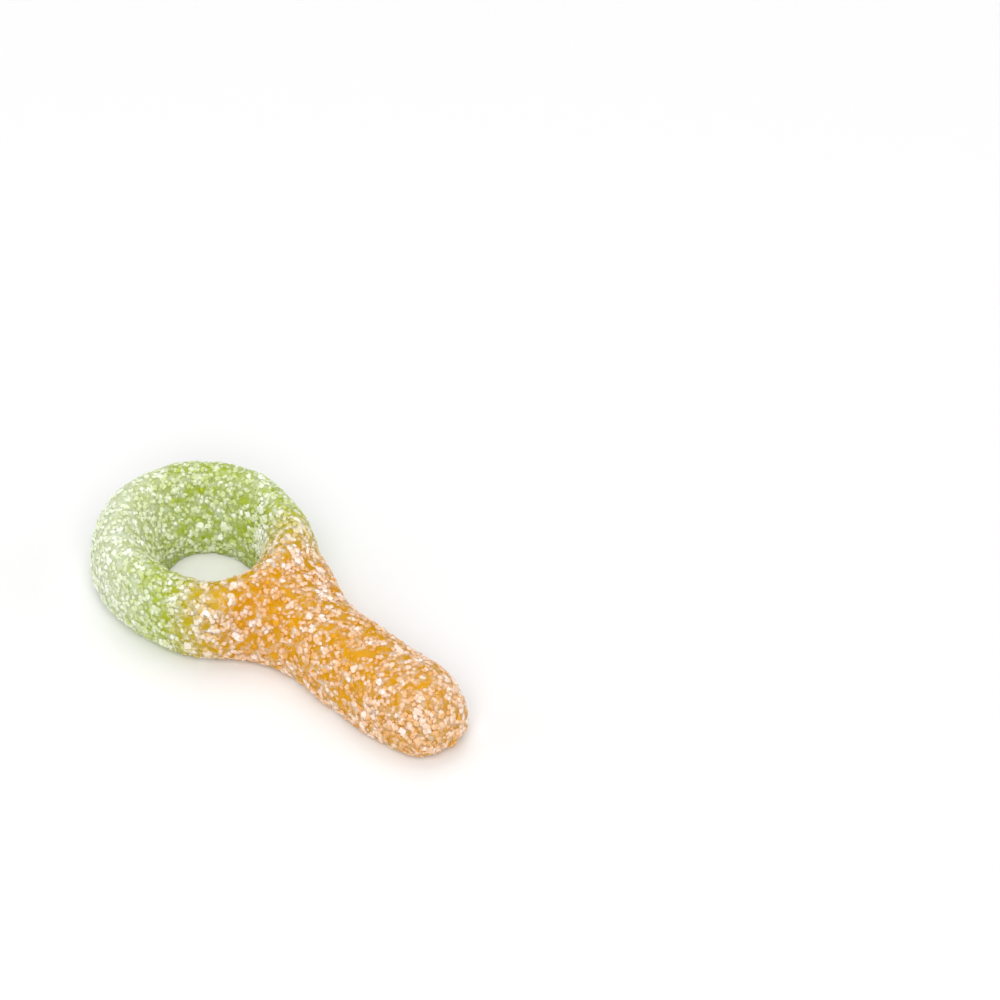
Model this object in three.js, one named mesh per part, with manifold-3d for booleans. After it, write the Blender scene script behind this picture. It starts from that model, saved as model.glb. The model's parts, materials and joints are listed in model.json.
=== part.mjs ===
// A sour gummy pacifier: a thick ring with a short blunt stem, one piece of poured gel rolled in
// sugar. Millimetres, +Z up. It lies on its flat back, with the stem along +X.
import * as THREE from "three";
import { ImprovedNoise } from "three/addons/math/ImprovedNoise.js";
import { MeshSurfaceSampler } from "three/addons/math/MeshSurfaceSampler.js";
import { ParametricGeometry } from "three/addons/geometries/ParametricGeometry.js";
import { mergeVertices } from "three/addons/utils/BufferGeometryUtils.js";
import Module from "manifold-3d";

// Ring: its section is a tall rounded ridge, wider towards the hole than towards the rim
const RING_RADIUS_X = 12.55;
const RING_RADIUS_Y = 11.5;
const RING_SWELL = 0.6; // how much further the ring reaches on the side away from the stem
const RING_SWELL_ANGLE = 200 * THREE.MathUtils.DEG2RAD;
const RING_SWELL_POWER = 1.5; // how narrow the swelling is
const CREST_SHARE = 1 / 3; // how much of the swelling the ridge's top follows
const SHOULDER_FAR = 0.8; // the ring is fuller on both sides of the stem, most at the near one
const SHOULDER_NEAR = 1.6;
const SHOULDER_ANGLE = 42 * THREE.MathUtils.DEG2RAD;
const SHOULDER_WIDTH = 16 * THREE.MathUtils.DEG2RAD;
const HOLE_RADIUS_X = 5.2;
const HOLE_RADIUS_Y = 4.75;
const CREST_RADIUS_X = 9.2;
const CREST_RADIUS_Y = 8.45;
const RING_HEIGHT = 8.8;
const RING_TILT = 0.25; // the ridge is this much higher at the side away from the stem
const RIM_POWER = 2.4; // superellipse powers: 2 is an ellipse, more is boxier
const FUNNEL_POWER = 1.85;

// Stem: a domed bar that flares into the ring and ends in a blunt tip
const STEM_START = 8.5;
const STEM_TIP = 36.5;
const STEM_HALF_WIDTH = 4.65;
const STEM_HEIGHT = 7.85;
const STEM_POWER = 2.35;
const STEM_END_HEIGHT = STEM_HEIGHT / 3; // of the points in which the stem's two ends close
const ROOT_FLARE = 1.7;
const ROOT_RISE = 0.65;
const ROOT_WIDEST = 9.8;
const ROOT_LENGTH = 3.9;
const ROOT_LUMP = 0.5; // the far side of the root is fuller than the near side
const ROOT_LUMP_X = 12;
const ROOT_LUMP_LENGTH = 3;
const TIP_SWELL = 0.6;
const TIP_SWELL_LENGTH = 6;
const TIP_LENGTH = 6.4;
const TIP_SIDE_POWER = 2.2;
const TIP_TOP_POWER = 2.6;

// Lower edge, the same all round, where the poured gel drew in against the mould
const WIDEST_HEIGHT = 2.1;
const EDGE_INSET = 3.6;
const TRIM_DEPTH = 0.5; // gel modelled below the back, and trimmed off flat

// Blend between ring and stem
const BLEND_RADIUS = 12;
const BLEND_WIDTH = 2.4;
const BLEND_PASSES = 14;
const BLEND_SHARE = 0.6; // of the way to its neighbours that a vertex goes in each pass
const BLEND_SLOPE = 0.7; // it is blended where x is more than this share of its distance across

// Sugar: fine bumps all over, and the largest crystals as grains of their own
const LUMP_PITCH = 5.5;
const LUMP_DEPTH = 0.28;
const BUMP_PITCH = 0.9;
const BUMP_DEPTH = 0.4;
const GRAIN_COUNT = 170;
const GRAIN_MIN = 0.75;
const GRAIN_MAX = 1.1;
const GRAIN_WIDTHS = [0.7, 1]; // shares of its length
const GRAIN_HEIGHTS = [0.6, 0.85];
const GRAIN_SPACING = 2;
const GRAIN_LOWEST = 1;
const GRAIN_LIFT = 0.12;
const SEED = 20;

// Mesh steps: round the ring, along the stem, and up and over each section
const RING_STEPS = 54;
const STEM_STEPS = 25;
const STEM_CROWDING = 1.5; // more than 1 brings the sections closer together towards the tip
const RING_SECTION = { low: 2, rim: 9, funnel: 10, back: 2 };
const STEM_SECTION = { low: 2, dome: 16, back: 2 };

const LIME = new THREE.Color(0xb4cf45);
const AMBER = new THREE.Color(0xeeaa44);
const BORDER_X = 6.2; // the two poured colours meet here
const BORDER_WIDTH = 3;

const WELD_DISTANCE = 1e-4; // vertices closer together than this are one

const wasm = await Module();
wasm.setup();

// A repeatable stream of numbers from 0 to 1
function seededRandom(seed) {
  let state = seed;
  return () => {
    state = (state + 0x6d2b79f5) | 0;
    let mixed = Math.imul(state ^ (state >>> 15), 1 | state);
    mixed = (mixed + Math.imul(mixed ^ (mixed >>> 7), 61 | mixed)) ^ mixed;
    return ((mixed ^ (mixed >>> 14)) >>> 0) / 2 ** 32;
  };
}

// A quarter of a superellipse of unit radii, from (1, 0) at t = 0 to (0, 1) at t = 1
function roundedQuarter(power, t) {
  const angle = (t * Math.PI) / 2;
  return [Math.cos(angle) ** (2 / power), Math.sin(angle) ** (2 / power)];
}

// The radius at an angle of an oval of two radii
function ovalRadius(angle, radiusX, radiusY) {
  return 1 / Math.hypot(Math.cos(angle) / radiusX, Math.sin(angle) / radiusY);
}

// Radius and height of the ring's section, by the step round it, from the back edge outside up
// over the ridge, down the funnel and along the back
function ringSection(angle, step) {
  const { low, rim, funnel, back } = RING_SECTION;
  const swell = RING_SWELL * Math.max(0, Math.cos(angle - RING_SWELL_ANGLE)) ** RING_SWELL_POWER;
  const fromShoulder = (Math.acos(Math.cos(angle)) - SHOULDER_ANGLE) / SHOULDER_WIDTH;
  const fullness = Math.sin(angle) > 0 ? SHOULDER_FAR : SHOULDER_NEAR;
  const shoulder = fullness * Math.exp(-(fromShoulder ** 2));
  const outside = ovalRadius(angle, RING_RADIUS_X, RING_RADIUS_Y) + swell + shoulder;
  const crest = ovalRadius(angle, CREST_RADIUS_X, CREST_RADIUS_Y) + swell * CREST_SHARE;
  const hole = ovalRadius(angle, HOLE_RADIUS_X, HOLE_RADIUS_Y);
  const top = RING_HEIGHT - RING_TILT * (1 + Math.cos(angle)) / 2;
  if (step <= low) {
    const [out, up] = roundedQuarter(2, 1 - step / low);
    return [outside - EDGE_INSET * (1 - out), WIDEST_HEIGHT - (WIDEST_HEIGHT + TRIM_DEPTH) * up];
  }
  if (step <= low + rim) {
    const [out, up] = roundedQuarter(RIM_POWER, (step - low) / rim);
    return [crest + (outside - crest) * out, WIDEST_HEIGHT + (top - WIDEST_HEIGHT) * up];
  }
  if (step <= low + rim + funnel) {
    const [inward, up] = roundedQuarter(FUNNEL_POWER, 1 - (step - low - rim) / funnel);
    return [crest - (crest - hole) * inward, (top + TRIM_DEPTH) * up - TRIM_DEPTH];
  }
  const across = (step - low - rim - funnel) / back;
  return [THREE.MathUtils.lerp(hole, outside - EDGE_INSET, across), -TRIM_DEPTH];
}

function ringGeometry() {
  const sectionSteps = Object.values(RING_SECTION).reduce((sum, steps) => sum + steps);
  const place = (u, v, target) => {
    const angle = u * 2 * Math.PI;
    const [radius, height] = ringSection(angle, Math.round(v * sectionSteps));
    target.set(radius * Math.cos(angle), radius * Math.sin(angle), height);
  };
  return new ParametricGeometry(place, RING_STEPS, sectionSteps);
}

// Half width and height of the stem at x, without the tip's rounding
function stemSize(x) {
  const root = Math.exp(-(Math.max(x, ROOT_WIDEST) - RING_RADIUS_X) / ROOT_LENGTH);
  const tipSwell = Math.exp(-(((x - STEM_TIP + STEM_HALF_WIDTH) / TIP_SWELL_LENGTH) ** 2));
  const rise = ROOT_RISE * Math.exp(-(x - STEM_START) / ROOT_LENGTH);
  return [STEM_HALF_WIDTH + ROOT_FLARE * root + TIP_SWELL * tipSwell, STEM_HEIGHT + rise];
}

// How far x is into the tip, from 0 where its rounding starts to 1 at its end
function shareOfTip(x) {
  return Math.max(0, (x - STEM_TIP + TIP_LENGTH) / TIP_LENGTH);
}

// Across and height of the stem's section at x, and how far it is tucked in under the edge, by the
// step round it: up one side from the back, over the dome, down the other side and along the back
function stemSection(x, step) {
  const { low, dome, back } = STEM_SECTION;
  const [halfWidth, height] = stemSize(x);
  const inTip = shareOfTip(x);
  const side = halfWidth * (1 - inTip ** TIP_SIDE_POWER) ** (1 / TIP_SIDE_POWER);
  const top = height * (1 - inTip ** TIP_TOP_POWER) ** (1 / TIP_TOP_POWER);
  const widest = Math.min(WIDEST_HEIGHT, top / 2);
  const foot = Math.max(0, side - EDGE_INSET);
  const overDome = step - low;
  if (overDome >= 0 && overDome <= dome) {
    const t = overDome / dome;
    const [out, up] = roundedQuarter(STEM_POWER, 1 - Math.abs(1 - 2 * t));
    return [side * out * Math.sign(0.5 - t), widest + (top - widest) * up, 0];
  }
  const left = step > low;
  const down = left ? (overDome - dome) / low : 1 - step / low;
  if (down <= 1) {
    const [out, fall] = roundedQuarter(2, down);
    const across = foot + (side - foot) * out;
    return [left ? -across : across, widest - (widest + TRIM_DEPTH) * fall, 1 - out];
  }
  const across = (step - 2 * low - dome) / back;
  return [THREE.MathUtils.lerp(-foot, foot, across), -TRIM_DEPTH, 1];
}

function stemGeometry() {
  const sectionSteps = 2 * STEM_SECTION.low + STEM_SECTION.dome + STEM_SECTION.back;
  const place = (u, v, target) => {
    const x = THREE.MathUtils.lerp(STEM_START, STEM_TIP, 1 - (1 - u) ** STEM_CROWDING);
    const step = Math.round((1 - v) * sectionSteps) % sectionSteps;
    const [across, height, tuck] = stemSection(x, step);
    const farSide = Math.max(0, across / STEM_HALF_WIDTH);
    const lump = ROOT_LUMP * farSide * Math.exp(-(((x - ROOT_LUMP_X) / ROOT_LUMP_LENGTH) ** 2));
    if (u === 0 || u === 1) target.set(x, 0, STEM_END_HEIGHT);
    else target.set(x - EDGE_INSET * tuck * shareOfTip(x) ** 2, across + lump, height);
  };
  return new ParametricGeometry(place, STEM_STEPS, sectionSteps);
}

// A geometry with its seams closed, for which it keeps nothing but its vertices' places
function withPositionOnly(geometry) {
  geometry.deleteAttribute("normal");
  geometry.deleteAttribute("uv");
  return mergeVertices(geometry, WELD_DISTANCE);
}

// A closed geometry as a solid, without the faces that have shrunk to a line at an end
function solidOf(geometry) {
  const welded = withPositionOnly(geometry);
  const corners = welded.index.array;
  const kept = [];
  for (let i = 0; i < corners.length; i += 3) {
    const [a, b, c] = corners.subarray(i, i + 3);
    if (a !== b && b !== c && c !== a) kept.push(a, b, c);
  }
  const vertProperties = new Float32Array(welded.attributes.position.array);
  return new wasm.Manifold(
    new wasm.Mesh({ numProp: 3, vertProperties, triVerts: Uint32Array.from(kept) }),
  );
}

function geometryOf(solid) {
  const { vertProperties, triVerts } = solid.getMesh();
  const geometry = new THREE.BufferGeometry();
  geometry.setAttribute("position", new THREE.BufferAttribute(new Float32Array(vertProperties), 3));
  geometry.setIndex(new THREE.BufferAttribute(new Uint32Array(triVerts), 1));
  return geometry;
}

// The set of neighbours of each vertex
function neighboursOf(geometry) {
  const around = Array.from({ length: geometry.attributes.position.count }, () => new Set());
  const corners = geometry.index.array;
  for (let i = 0; i < corners.length; i += 3) {
    const [a, b, c] = corners.subarray(i, i + 3);
    around[a].add(b).add(c);
    around[b].add(c).add(a);
    around[c].add(a).add(b);
  }
  return around;
}

// Fills the crease between ring and stem by drawing each vertex there towards its neighbours
function blendRoot(geometry) {
  const position = geometry.attributes.position;
  const around = neighboursOf(geometry);
  const here = new THREE.Vector3();
  const mean = new THREE.Vector3();
  const other = new THREE.Vector3();
  for (let pass = 0; pass < BLEND_PASSES; pass++) {
    const moved = position.clone();
    for (let i = 0; i < position.count; i++) {
      here.fromBufferAttribute(position, i);
      const off = (Math.hypot(here.x, here.y) - BLEND_RADIUS) / BLEND_WIDTH;
      const share = here.x > BLEND_SLOPE * Math.abs(here.y) ? BLEND_SHARE * Math.exp(-(off ** 2)) : 0;
      mean.set(0, 0, 0);
      around[i].forEach((j) => mean.add(other.fromBufferAttribute(position, j)));
      mean.divideScalar(around[i].size);
      mean.z = THREE.MathUtils.lerp(here.z, mean.z, THREE.MathUtils.smoothstep(here.z, 0, STEM_HEIGHT));
      here.lerp(mean, share);
      moved.setXYZ(i, here.x, here.y, here.z);
    }
    position.copy(moved);
  }
  return geometry;
}

// Moves each vertex in or out along its normal: slow lumps of the gel and fine sugar bumps
function roughen(geometry) {
  const noise = new ImprovedNoise();
  const waves = (p, pitch) => noise.noise(p.x / pitch, p.y / pitch, p.z / pitch + SEED);
  geometry.computeVertexNormals();
  const { position, normal } = geometry.attributes;
  const here = new THREE.Vector3();
  const out = new THREE.Vector3();
  for (let i = 0; i < position.count; i++) {
    here.fromBufferAttribute(position, i);
    out.fromBufferAttribute(normal, i);
    const push = LUMP_DEPTH * waves(here, LUMP_PITCH) + BUMP_DEPTH * waves(here, BUMP_PITCH);
    here.addScaledVector(out, push);
    position.setXYZ(i, here.x, here.y, here.z);
  }
  return geometry;
}

// Blocky sugar crystals, each sunk to about half in the gel and clear of its neighbours
function sugarGrains(body) {
  const random = seededRandom(SEED);
  const between = (low, high) => low + (high - low) * random();
  const sampler = new MeshSurfaceSampler(new THREE.Mesh(body)).setRandomGenerator(random).build();
  const at = new THREE.Vector3();
  const out = new THREE.Vector3();
  const placed = [];
  const grains = [];
  while (grains.length < GRAIN_COUNT) {
    sampler.sample(at, out);
    const crowded = placed.some((p) => p.distanceTo(at) < GRAIN_SPACING);
    if (at.z < GRAIN_LOWEST || crowded) continue;
    placed.push(at.clone());
    const size = between(GRAIN_MIN, GRAIN_MAX);
    const crystal = new THREE.BoxGeometry(
      size,
      size * between(...GRAIN_WIDTHS),
      size * between(...GRAIN_HEIGHTS),
    );
    crystal.rotateX(between(0, Math.PI));
    crystal.rotateY(between(0, Math.PI));
    crystal.rotateZ(between(0, Math.PI));
    at.addScaledVector(out, GRAIN_LIFT);
    crystal.translate(at.x, at.y, at.z);
    grains.push(solidOf(crystal));
  }
  return grains;
}

// The block under the flat back
function trimBlock() {
  const block = new THREE.BoxGeometry(4 * STEM_TIP, 4 * STEM_TIP, 4 * TRIM_DEPTH);
  return solidOf(block.translate(0, 0, -2 * TRIM_DEPTH));
}

// Colours each vertex from lime at the ring to amber along the stem
function tint(geometry) {
  const position = geometry.attributes.position;
  const colours = new THREE.BufferAttribute(new Float32Array(3 * position.count), 3);
  const mixed = new THREE.Color();
  for (let i = 0; i < position.count; i++) {
    const past = (position.getX(i) - BORDER_X) / BORDER_WIDTH + 0.5;
    mixed.lerpColors(LIME, AMBER, THREE.MathUtils.clamp(past, 0, 1));
    colours.setXYZ(i, mixed.r, mixed.g, mixed.b);
  }
  geometry.setAttribute("color", colours);
  return geometry;
}

// Moves the origin to the middle of the flat back
function centred(geometry) {
  geometry.computeBoundingBox();
  const middle = geometry.boundingBox.getCenter(new THREE.Vector3());
  return geometry.translate(-middle.x, -middle.y, -geometry.boundingBox.min.z);
}

function gummy() {
  const joined = solidOf(ringGeometry()).add(solidOf(stemGeometry()));
  const body = roughen(blendRoot(geometryOf(joined)));
  const coated = sugarGrains(body.toNonIndexed()).reduce(
    (solid, grain) => solid.add(grain),
    solidOf(body),
  );
  const geometry = centred(tint(geometryOf(coated.subtract(trimBlock()))));
  const material = new THREE.MeshStandardMaterial({ vertexColors: true, roughness: 0.55 });
  const mesh = new THREE.Mesh(geometry, material);
  mesh.name = "gummy_pacifier";
  return mesh;
}

const part = new THREE.Group();
part.add(gummy());

export default part;
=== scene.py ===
"""A sour gummy pacifier: soft gel poured in two colours, under a coat of sour sugar.

Metres, +Z up. The sweet lies on its flat back with the stem along +X, in the frame of the
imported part.
"""

import json
import logging
import math
from collections.abc import Callable, Iterator
from contextlib import contextmanager
from dataclasses import dataclass
from enum import Enum
from typing import Any

import bpy
from bpy.types import (Collection, GeometryNodeTree, Material, NodeSocket, NodeTree, Object,
                       ShaderNodeTree)
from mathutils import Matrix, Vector

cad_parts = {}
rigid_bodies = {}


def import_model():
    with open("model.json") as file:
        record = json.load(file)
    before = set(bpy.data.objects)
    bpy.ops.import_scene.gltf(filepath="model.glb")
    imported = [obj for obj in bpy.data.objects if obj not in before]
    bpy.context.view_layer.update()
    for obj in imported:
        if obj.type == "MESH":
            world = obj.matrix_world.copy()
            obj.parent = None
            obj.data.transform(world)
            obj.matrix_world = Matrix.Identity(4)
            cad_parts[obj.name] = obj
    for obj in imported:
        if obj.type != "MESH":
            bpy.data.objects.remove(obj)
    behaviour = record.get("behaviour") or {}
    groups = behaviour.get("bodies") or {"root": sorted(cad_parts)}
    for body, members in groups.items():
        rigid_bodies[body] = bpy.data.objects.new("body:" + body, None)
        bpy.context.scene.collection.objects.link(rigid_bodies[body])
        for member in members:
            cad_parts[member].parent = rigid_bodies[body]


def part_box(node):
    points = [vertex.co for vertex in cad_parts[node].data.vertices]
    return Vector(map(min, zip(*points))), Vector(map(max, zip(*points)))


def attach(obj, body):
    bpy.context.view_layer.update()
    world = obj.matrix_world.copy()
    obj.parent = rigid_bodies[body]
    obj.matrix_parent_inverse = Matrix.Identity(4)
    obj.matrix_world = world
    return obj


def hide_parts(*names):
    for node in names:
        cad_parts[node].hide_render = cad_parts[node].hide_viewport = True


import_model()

MM = 0.001
NODE = "gummy_pacifier"
BODY = "root"
TONE = "sugar_tone"
RISE = "crystal_rise"
FROSTING = "Frosting"
WELD = 0.02 * MM

Pair = tuple[float, float]
Triple = tuple[float, float, float]
Pull = tuple[Triple, float]

LOG = logging.getLogger("gummy")


class Hue(Enum):
    """The linear colours of the gel, its sugar and the studio, with their alpha."""

    GREEN_GEL = (0.4, 0.5, 0.02, 1.0)
    AMBER_GEL = (0.71, 0.315, 0.0018, 1.0)
    GREEN_SUGAR = (0.86, 0.9, 0.79, 1.0)
    AMBER_SUGAR = (0.9, 0.77, 0.69, 1.0)
    SUGAR = (0.92, 0.91, 0.88, 1.0)
    FLOOR = (0.83, 0.83, 0.83, 1.0)


# Workbench: selecting, editing and finishing pieces


def clear_selection() -> None:
    """Deselects every object, so that an operator acts on one piece alone."""
    bpy.ops.object.select_all(action="DESELECT")


def take_up(piece: Object) -> None:
    """Makes one piece the only selected and the active one.

    Args:
        piece: the object to work on.
    """
    clear_selection()
    piece.select_set(True)
    bpy.context.view_layer.objects.active = piece


def select_all() -> None:
    """Selects all of the piece that is open in edit mode."""
    bpy.ops.mesh.select_all(action="SELECT")


def fix_place(piece: Object) -> None:
    """Puts the place, turn and scale of a piece into its mesh."""
    take_up(piece)
    bpy.ops.object.transform_apply(location=True, rotation=True, scale=True)


def pull(shift: Any, reach: float, falloff: str = "SMOOTH") -> None:
    """Moves the selected vertices, and those within reach less and less with distance."""
    bpy.ops.transform.translate(value=shift, use_proportional_edit=True,
                                proportional_edit_falloff=falloff, proportional_size=reach)


@contextmanager
def editing(piece: Object) -> Iterator[None]:
    """Opens a piece in edit mode, in vertex mode with nothing selected, and closes it again.

    Args:
        piece: the mesh object to edit.
    """
    take_up(piece)
    bpy.ops.object.mode_set(mode="EDIT")
    bpy.ops.mesh.select_mode(type="VERT")
    bpy.ops.mesh.select_all(action="DESELECT")
    yield
    bpy.ops.object.mode_set(mode="OBJECT")


def pick(piece: Object, wanted: Callable[[Vector], bool]) -> int:
    """Selects the vertices of a piece in edit mode by their place.

    Args:
        piece: the mesh object that is open in edit mode.
        wanted: says of a vertex's place, in metres, whether it is taken.

    Returns:
        The number of vertices selected.
    """
    bpy.ops.mesh.select_all(action="DESELECT")
    bpy.ops.object.mode_set(mode="OBJECT")
    count = 0
    for vertex in piece.data.vertices:
        vertex.select = wanted(vertex.co)
        count += vertex.select
    bpy.ops.object.mode_set(mode="EDIT")
    return count


def near(*place: float | None) -> Callable[[Vector], bool]:
    """A test for pick, whether a vertex lies at some x, y and z, with None for any."""
    return lambda at: all(p is None or abs(a - p) < 0.01 * MM for a, p in zip(at, place))


def flatten_below(piece: Object, height: float) -> None:
    """Presses all of a piece that lies below a height up to it.

    Args:
        piece: the mesh object to flatten.
        height: the height, in metres.
    """
    with editing(piece):
        if pick(piece, lambda at: at.z < height):
            bpy.ops.transform.resize(value=(1, 1, 0), center_override=(0, 0, height))


def apply_modifier(piece: Object, kind: str, **settings: Any) -> None:
    """Adds a modifier to a piece, sets it and applies it.

    Args:
        piece: the mesh object to change.
        kind: the modifier's type, as Blender names it.
        settings: values for the modifier's own properties.
    """
    take_up(piece)
    bpy.ops.object.modifier_add(type=kind)
    modifier = piece.modifiers[-1]
    for name, value in settings.items():
        setattr(modifier, name, value)
    bpy.ops.object.modifier_apply(modifier=modifier.name)


def dress(piece: Object, name: str, material: Material) -> None:
    """Names a finished piece, gives it its material and fixes it to the part.

    Args:
        piece: the finished mesh object.
        name: the piece's name.
        material: the material that covers it.
    """
    piece.name = name
    piece.data.name = name
    piece.data.materials.clear()
    piece.data.materials.append(material)
    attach(piece, BODY)
    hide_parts(NODE)
    LOG.info("%s: %d faces", name, len(piece.data.polygons))


class NodeBench:
    """Adds and links the nodes of one tree, in columns from left to right."""

    COLUMN = 220

    def __init__(self, tree: NodeTree) -> None:
        """Starts at the left of a tree."""
        self.tree = tree
        self.count = 0

    def add(self, kind: str, inputs: dict[Any, Any] | None = None, **settings: Any) -> Any:
        """Adds one node.

        Args:
            kind: the node's type, as Blender names it.
            inputs: a value or an output socket for each named or numbered input.
            settings: values for the node's own properties.

        Returns:
            The new node.
        """
        node = self.tree.nodes.new(kind)
        node.location = (self.COLUMN * self.count, 0)
        self.count += 1
        for name, value in settings.items():
            setattr(node, name, value)
        self.feed(node, inputs or {})
        return node

    def feed(self, node: Any, inputs: dict[Any, Any]) -> None:
        """Gives the inputs of a node their values and links.

        Args:
            node: the node.
            inputs: a value or an output socket for each named or numbered input.
        """
        for key, value in inputs.items():
            if isinstance(value, NodeSocket):
                self.tree.links.new(value, node.inputs[key])
            else:
                node.inputs[key].default_value = value

    def maths(self, operation: str, *values: Any) -> Any:
        """Adds a Math node for some numbers or sockets, and returns the result's socket."""
        inputs = dict(enumerate(values))
        return self.add("ShaderNodeMath", inputs, operation=operation).outputs[0]

    def blend(self, share: Any, first: Any, second: Any) -> Any:
        """Mixes two colours with a share of the second, and returns the mixed colour's socket."""
        inputs = {0: share, 6: first, 7: second}
        return self.add("ShaderNodeMix", inputs, data_type="RGBA").outputs[2]

    def shade(self, base: float, *parts: tuple[Any, float]) -> Any:
        """Adds up a base value and shares of some sockets.

        Args:
            base: the value to start from.
            parts: sockets, each with the factor that it counts by.

        Returns:
            The sum's socket.
        """
        total = base
        for socket, factor in parts:
            total = self.maths("MULTIPLY_ADD", socket, factor, total)
        return total

    def ramp(self, value: Any, low: float, high: float, start: float = 0.0,
             end: float = 1.0) -> Any:
        """Maps a value smoothly from one range to another, and holds it there.

        Args:
            value: the socket to read.
            low: the value that gives start.
            high: the value that gives end.
            start: the first result.
            end: the last result.

        Returns:
            The result's socket.
        """
        inputs = {0: value, 1: low, 2: high, 3: start, 4: end}
        node = self.add("ShaderNodeMapRange", inputs, interpolation_type="SMOOTHSTEP")
        return node.outputs[0]


class Tree(Enum):
    """The kinds of node tree, as Blender names them."""

    SHADER = "ShaderNodeTree"
    GEOMETRY = "GeometryNodeTree"


def new_group(name: str, kind: Tree, takes: dict[str, str], gives: dict[str, str]) -> NodeBench:
    """Starts a node group.

    Args:
        name: the group's name.
        kind: its kind of tree.
        takes: the type of each named input.
        gives: the type of each named output.

    Returns:
        The bench of its nodes.
    """
    tree = bpy.data.node_groups.new(name, kind.value)
    for way, sockets in (("INPUT", takes), ("OUTPUT", gives)):
        for socket, of in sockets.items():
            tree.interface.new_socket(name=socket, in_out=way, socket_type="NodeSocket" + of)
    return NodeBench(tree)


def new_material(name: str) -> tuple[Material, NodeBench, Any]:
    """Starts a material.

    Args:
        name: the material's name.

    Returns:
        The material, the bench of its nodes and its Principled shader.
    """
    material = bpy.data.materials.new(name)
    material.use_nodes = True
    return material, NodeBench(material.node_tree), material.node_tree.nodes["Principled BSDF"]


# Finishes


@dataclass(frozen=True)
class PouredColours:
    """Where the gel's two colours meet: a curved border with a wavering edge.

    Attributes:
        middle: the border's x on the sweet's centre line, in metres.
        slant: how much further along the border lies for each metre across.
        bow: the same for each metre across squared.
        width: the width of the blend.
        waver: how far the border wanders.
        bled: how far a little of the amber has spread into the green.
        bled_share: how little.
    """

    middle: float
    slant: float = 0.1
    bow: float = 32.0
    width: float = 11 * MM
    waver: float = 2.4 * MM
    bled: float = 10 * MM
    bled_share: float = 0.06

    def group(self) -> ShaderNodeTree:
        """Builds the node group.

        Returns:
            A group that takes the colours of the green end and of the amber end, and puts out
            the colour at each place and how much of it is amber.
        """
        takes = {"Green End": "Color", "Amber End": "Color"}
        gives = {"Colour": "Color", "Amber": "Float"}
        bench = new_group("poured_colours", Tree.SHADER, takes, gives)
        ends = bench.add("NodeGroupInput")
        place = bench.add("ShaderNodeTexCoord").outputs["Object"]
        axes = bench.add("ShaderNodeSeparateXYZ", {0: place})
        across = axes.outputs["Y"]
        bowed = bench.maths("MULTIPLY", bench.maths("MULTIPLY", across, across), self.bow)
        slanted = bench.maths("MULTIPLY", across, self.slant)
        border = bench.maths("ADD", bench.maths("ADD", bowed, slanted), self.middle)
        wave = bench.add("ShaderNodeTexNoise", {"Vector": place, "Scale": 260.0, "Detail": 3.0})
        wander = bench.maths("MULTIPLY_ADD", wave.outputs[0], self.waver, -self.waver / 2)
        past = bench.maths("ADD", bench.maths("SUBTRACT", axes.outputs["X"], border), wander)
        bled = bench.ramp(past, -self.bled, 0.0, 0.0, self.bled_share)
        poured = bench.ramp(past, -self.width / 2, self.width / 2, 0.0, 1 - self.bled_share)
        amber = bench.maths("ADD", poured, bled)
        colour = bench.blend(amber, ends.outputs["Green End"], ends.outputs["Amber End"])
        bench.add("NodeGroupOutput", {"Colour": colour, "Amber": amber})
        return bench.tree


class Lie(Enum):
    """Where sugar lies: all over the crust, on its white crowns, or on the ring's paler, hazier
    side.
    """

    CRUST = "Crust"
    CROWN = "Crown"
    DRIFT = "Drift"


@dataclass(frozen=True)
class CoatAndShadePatch:
    """A patch where the coat is thicker or thinner than round about. Some follow the sweet's own
    coat; others are painted light and shade, a lighter or darker coat where light or shade should
    fall.

    Attributes:
        place: its middle, from the ring's middle on the table, in millimetres.
        reach: its radius, in millimetres.
        more: how much thicker the coat is there, or thinner if negative.
    """

    place: Triple
    reach: float
    more: float


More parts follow.
